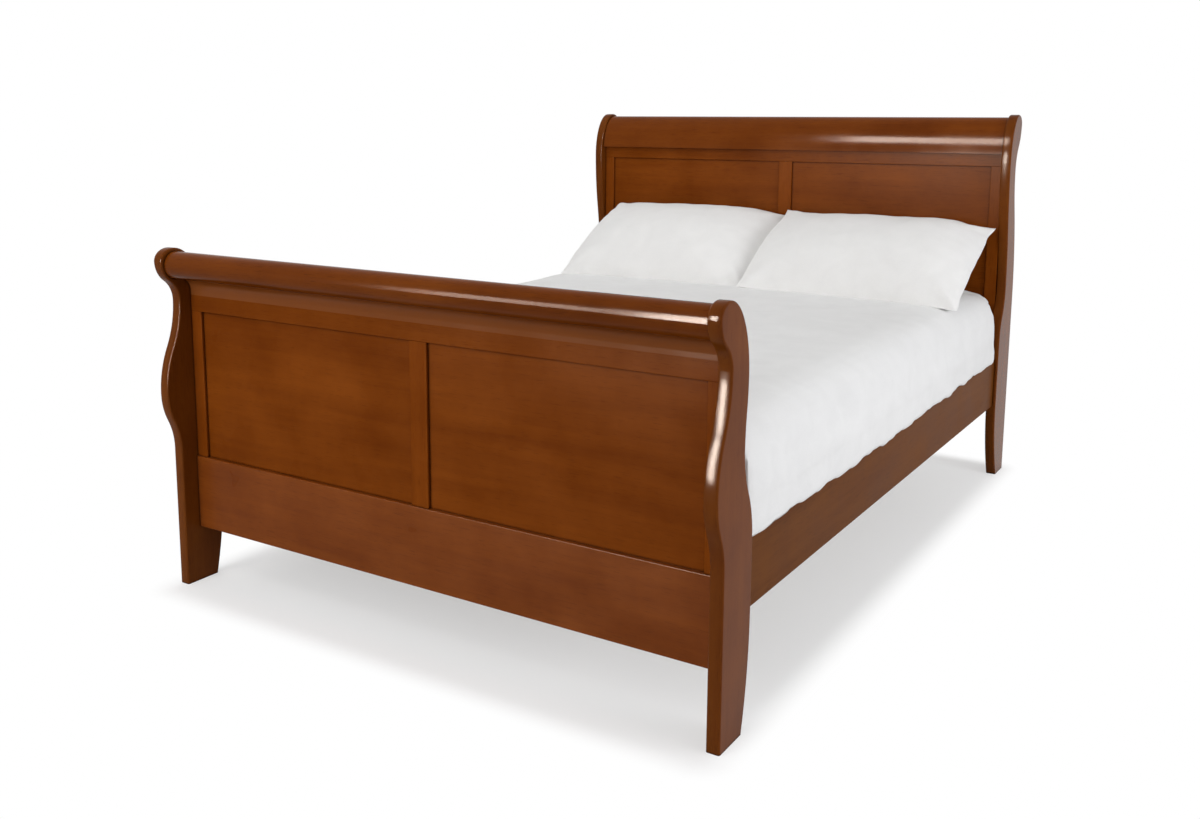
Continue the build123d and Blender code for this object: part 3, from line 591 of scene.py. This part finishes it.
def make_pillow(name, part_name, under, seed, droop, settle, tuck):
    """Plump pillow in a sewn case, leaning on the head end.

    tuck is how its end meets the other pillow: the side it is on, and how far it is raised and shifted there.
    """
    piece, (u, v) = pillow_case(name, looks["pillow"])
    points = points_of(piece.data)
    inner = (1 - u ** 4) * (1 - v ** 4)
    flat = points * (1, 1, 0)
    folds = ripple(flat, (0.16, 0.16, 1), seed) + 0.5 * ripple(flat, (0.07, 0.07, 1), seed + 9)
    corners = smooth_step(np.abs(u), 0.55, 0.95) * smooth_step(np.abs(v), 0.4, 0.95)
    slant = np.sin(70 * (np.abs(points[:, 0]) - np.abs(points[:, 1])) + 1.5 * folds)
    face = np.where(points[:, 2] < 0, -1.0, 1.0)
    creases = PILLOW_FOLD * slant * corners * np.minimum(1, 8 * inner)
    points[:, 2] += face * (PILLOW_FOLD * folds * inner + creases)
    by_end = smooth_step(np.abs(u), 0.7, 0.95)
    by_edge = smooth_step(np.abs(v), 0.6, 0.95)
    puckers = by_end * ripple(flat, (0.22, 0.036, 1), seed + 17)
    puckers += by_edge * ripple(flat, (0.042, 0.2, 1), seed + 23)
    points[:, 2] += face * PILLOW_PUCKER * puckers * np.minimum(1, 10 * inner)
    rim = np.maximum(smooth_step(np.abs(u), 0.93, 1), smooth_step(np.abs(v), 0.93, 1))
    points[:, 0] += RIM_WAVE_ACROSS * rim * ripple(flat, (0.06, 0.06, 1), seed + 31)
    points[:, 1] += RIM_WAVE_UP * rim * ripple(flat, (0.07, 0.07, 1), seed + 37)
    set_points(piece.data, points)
    free = np.clip(0.15 + 4 * inner, 0, 1)
    inflated(piece, pressure=4, last_frame=16, cap=PILLOW_CAP, free=free, stiffness=25, bending=0.4)
    x, y, z = points_of(piece.data).T
    y -= droop * smooth_step(u, 0.45, 1.0) ** 2 * smooth_step(v, -0.2, 1)
    x += PILLOW_EAR * (np.exp(-((1 - u) / 0.07) ** 2 - ((1 - v) / 0.12) ** 2)
                       - 0.8 * np.exp(-((1 - u) / 0.09) ** 2 - ((0.74 - v) / 0.12) ** 2))
    way, lift, shift = tuck
    near = smooth_step(way * u, 0.6, 1.0)
    z += lift * near
    x += way * shift * near
    low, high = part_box(part_name)
    middle = (low + high) / 2
    placed = np.stack([
        middle.x + x,
        middle.y + y * math.cos(PILLOW_TILT) - z * math.sin(PILLOW_TILT),
        middle.z + y * math.sin(PILLOW_TILT) + z * math.cos(PILLOW_TILT),
    ], axis=1)
    placed[:, 1] += PILLOW_LEAN * smooth_step(v, -0.5, 1)
    placed[:, 2] -= settle * smooth_step(v, -0.8, 1)
    placed[:, 1] = -soft_floor(-placed[:, 1], 0.001 - head_face, 0.004)
    rest = np.array([height_of(under, row) for row in placed])
    lower_rim = v < -0.999
    hover = np.median(placed[lower_rim, 2] - rest[lower_rim]) + PILLOW_SINK
    placed[:, 2] -= hover * smooth_step(-v, 0.1, 0.95)
    placed[:, 2] = soft_floor(placed[:, 2], rest - PILLOW_SINK, 0.001)
    set_points(piece.data, placed)
    subdivided(piece)
    return piece


def height_of(tree, point):
    """Height of the surface under or over a point."""
    found = tree.ray_cast(Vector((point[0], point[1], 2)), Vector((0, 0, -1)))[0]
    return found.z if found else quilt_low.z


mattress_pad = make_mattress()
quilt_cover = make_quilt()
quilt_tree = BVHTree.FromPolygons(
    [vertex.co for vertex in quilt_cover.data.vertices],
    [face.vertices for face in quilt_cover.data.polygons],
)
pillow_soft_left = make_pillow(
    "pillow_soft_left", "pillow_left", quilt_tree,
    seed=41.3, droop=0.004, settle=0.003, tuck=(1, -0.012, 0.006),
)
pillow_soft_right = make_pillow(
    "pillow_soft_right", "pillow_right", quilt_tree,
    seed=57.8, droop=0.022, settle=0.011, tuck=(-1, 0.016, 0.008),
)

SOFT = (
    ("mattress", mattress_pad, 0.95, "mattress_ticking"),
    ("quilt", quilt_cover, 0.5, "quilt_cotton"),
    ("pillow_left", pillow_soft_left, 0.6, "pillow_cotton"),
    ("pillow_right", pillow_soft_right, 0.6, "pillow_cotton"),
)
for part_name, piece, fill, slot_name in SOFT:
    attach(piece, part_name)
    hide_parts(part_name)


# Floor and surroundings: white to the camera, in glass and in gloss
FLOOR_GREY, FLOOR_GLOW = 0.5, 0.47
SHADOW_X, SHADOW_Y = 0.69, 1.06
FADE_END = 0.09
WORLD_LIGHT, WORLD_SEEN = 0.45, 1.0


def seen_directly(tree):
    """1 for rays that show a surface: from the camera, in gloss or through glass."""
    path = node(tree, "LightPath").outputs
    shown = maths(tree, "MAXIMUM", path["Is Camera Ray"], path["Is Glossy Ray"])
    return maths(tree, "MAXIMUM", shown, path["Is Transmission Ray"])


def make_floor():
    """Pale floor that keeps the shadow of the bed and turns white away from it."""
    half = 30
    mesh = bpy.data.meshes.new("floor")
    corners = [(-half, -half, 0), (half, -half, 0), (half, half, 0), (-half, half, 0)]
    mesh.from_pydata(corners, [], [(0, 1, 2, 3)])
    made, tree, shader, place = new_material("floor_white")
    shader.inputs["Base Color"].default_value = grey(FLOOR_GREY)
    shader.inputs["Roughness"].default_value = 1
    shader.inputs["Specular IOR Level"].default_value = 0
    shader.inputs["Emission Color"].default_value = grey(1)
    shown = seen_directly(tree)
    tree.links.new(maths(tree, "MULTIPLY", shown, FLOOR_GLOW), shader.inputs["Emission Strength"])
    split = node(tree, "SeparateXYZ", Vector=place).outputs
    beyond = []
    for axis, edge in (("X", SHADOW_X), ("Y", SHADOW_Y)):
        distance = maths(tree, "SUBTRACT", maths(tree, "ABSOLUTE", split[axis]), edge)
        beyond.append(maths(tree, "MAXIMUM", distance, 0))
    away = maths(tree, "SQRT", maths(tree, "ADD", *(maths(tree, "POWER", value, 2) for value in beyond)))
    fade = node(tree, "MapRange", {"interpolation_type": "SMOOTHSTEP"}, Value=away,
                From_Max=FADE_END).outputs["Result"]
    white = node(tree, "Emission", Color=grey(1), Strength=1.0).outputs[0]
    both = tree.nodes.new("ShaderNodeMixShader")
    tree.links.new(maths(tree, "MULTIPLY", fade, shown), both.inputs[0])
    tree.links.new(shader.outputs[0], both.inputs[1])
    tree.links.new(white, both.inputs[2])
    tree.links.new(both.outputs[0], tree.nodes["Material Output"].inputs["Surface"])
    floor = new_object("floor", mesh, made)


def make_world():
    """Even white surroundings, dimmer as a light than as a background."""
    scene.world = bpy.data.worlds.new("studio")
    scene.world.use_nodes = True
    tree = scene.world.node_tree
    sky = tree.nodes["Background"]
    sky.inputs["Color"].default_value = grey(1)
    shown = seen_directly(tree)
    strength = maths(tree, "MULTIPLY_ADD", shown, WORLD_SEEN - WORLD_LIGHT, WORLD_LIGHT)
    tree.links.new(strength, sky.inputs["Strength"])


def softbox(name, place, target, width, height, power, colour=(1, 1, 1), diffuse=True, gloss=True):
    """Rectangular area light that faces a target; it lights surfaces, shows in their gloss, or both."""
    lamp = bpy.data.lights.new(name, "AREA")
    lamp.shape = "RECTANGLE"
    lamp.size = width
    lamp.size_y = height
    lamp.energy = power
    lamp.color = colour
    made = bpy.data.objects.new(name, lamp)
    scene.collection.objects.link(made)
    made.location = place
    made.rotation_euler = (Vector(target) - Vector(place)).to_track_quat("-Z", "Y").to_euler()
    made.visible_camera = False
    made.visible_diffuse = diffuse
    made.visible_glossy = gloss


WARM = (1, 0.88, 0.76)
COOL = (0.975, 0.975, 1)

make_floor()
make_world()
softbox("front", (-0.9, -3.6, 1.6), (0.2, -1.0, 0.5), 1.8, 1.6, 35, gloss=False)
softbox("front_high", (-0.8, -3.4, 3.8), (0.0, 0.6, 0.8), 1.4, 1.2, 27, gloss=False)
softbox("overhead", (-1.7, 0.2, 4.0), (0, 0, 0.5), 3.0, 3.0, 40, gloss=False)
softbox("right_fill", (4.0, -0.2, 1.2), (0.6, 0, 0.5), 2.6, 1.8, 76, COOL, gloss=False)
softbox("back_fill", (-1.0, 4.6, 2.2), (0, 1.0, 0.6), 2.0, 1.6, 22, gloss=False)
softbox("gloss_strip", (-0.45, -3.5, 1.16), (0.5, -1.0, 0.7), 0.5, 1.6, 800, WARM, diffuse=False)
softbox("gloss_wide", (-1.2, -3.2, 1.0), (0.2, -1.0, 0.7), 0.8, 0.9, 150, WARM, diffuse=False)
softbox("gloss_head", (0.0, -0.5, 1.97), (0.1, 0.5, 1.57), 0.8, 0.35, 135, WARM, diffuse=False)


# Camera: focal length and principal point in pixels of the photograph's frame
FRAME_WIDTH, FRAME_HEIGHT = 1200, 819
FOCAL, CENTRE_X, CENTRE_Y = 1210.56, 519.99, 302.22
YAW, PITCH, ROLL = 0.600986, 0.162618, -0.004024
CAMERA_PLACE = (1.57409, -2.90821, 1.16337)

forward = Vector((-math.sin(YAW) * math.cos(PITCH), math.cos(YAW) * math.cos(PITCH), -math.sin(PITCH)))
level = Vector((math.cos(YAW), math.sin(YAW), 0))
raised = level.cross(forward)
right = math.cos(ROLL) * level + math.sin(ROLL) * raised
upward = math.cos(ROLL) * raised - math.sin(ROLL) * level
lens = bpy.data.cameras.new("camera")
lens.sensor_width = 36
lens.lens = FOCAL / FRAME_WIDTH * lens.sensor_width
lens.shift_x = (FRAME_WIDTH / 2 - CENTRE_X) / FRAME_WIDTH
lens.shift_y = (CENTRE_Y - FRAME_HEIGHT / 2) / FRAME_WIDTH
camera = bpy.data.objects.new("camera", lens)
scene.collection.objects.link(camera)
turned = Matrix((right, upward, -forward)).transposed().to_4x4()
camera.matrix_world = Matrix.Translation(CAMERA_PLACE) @ turned
scene.camera = camera
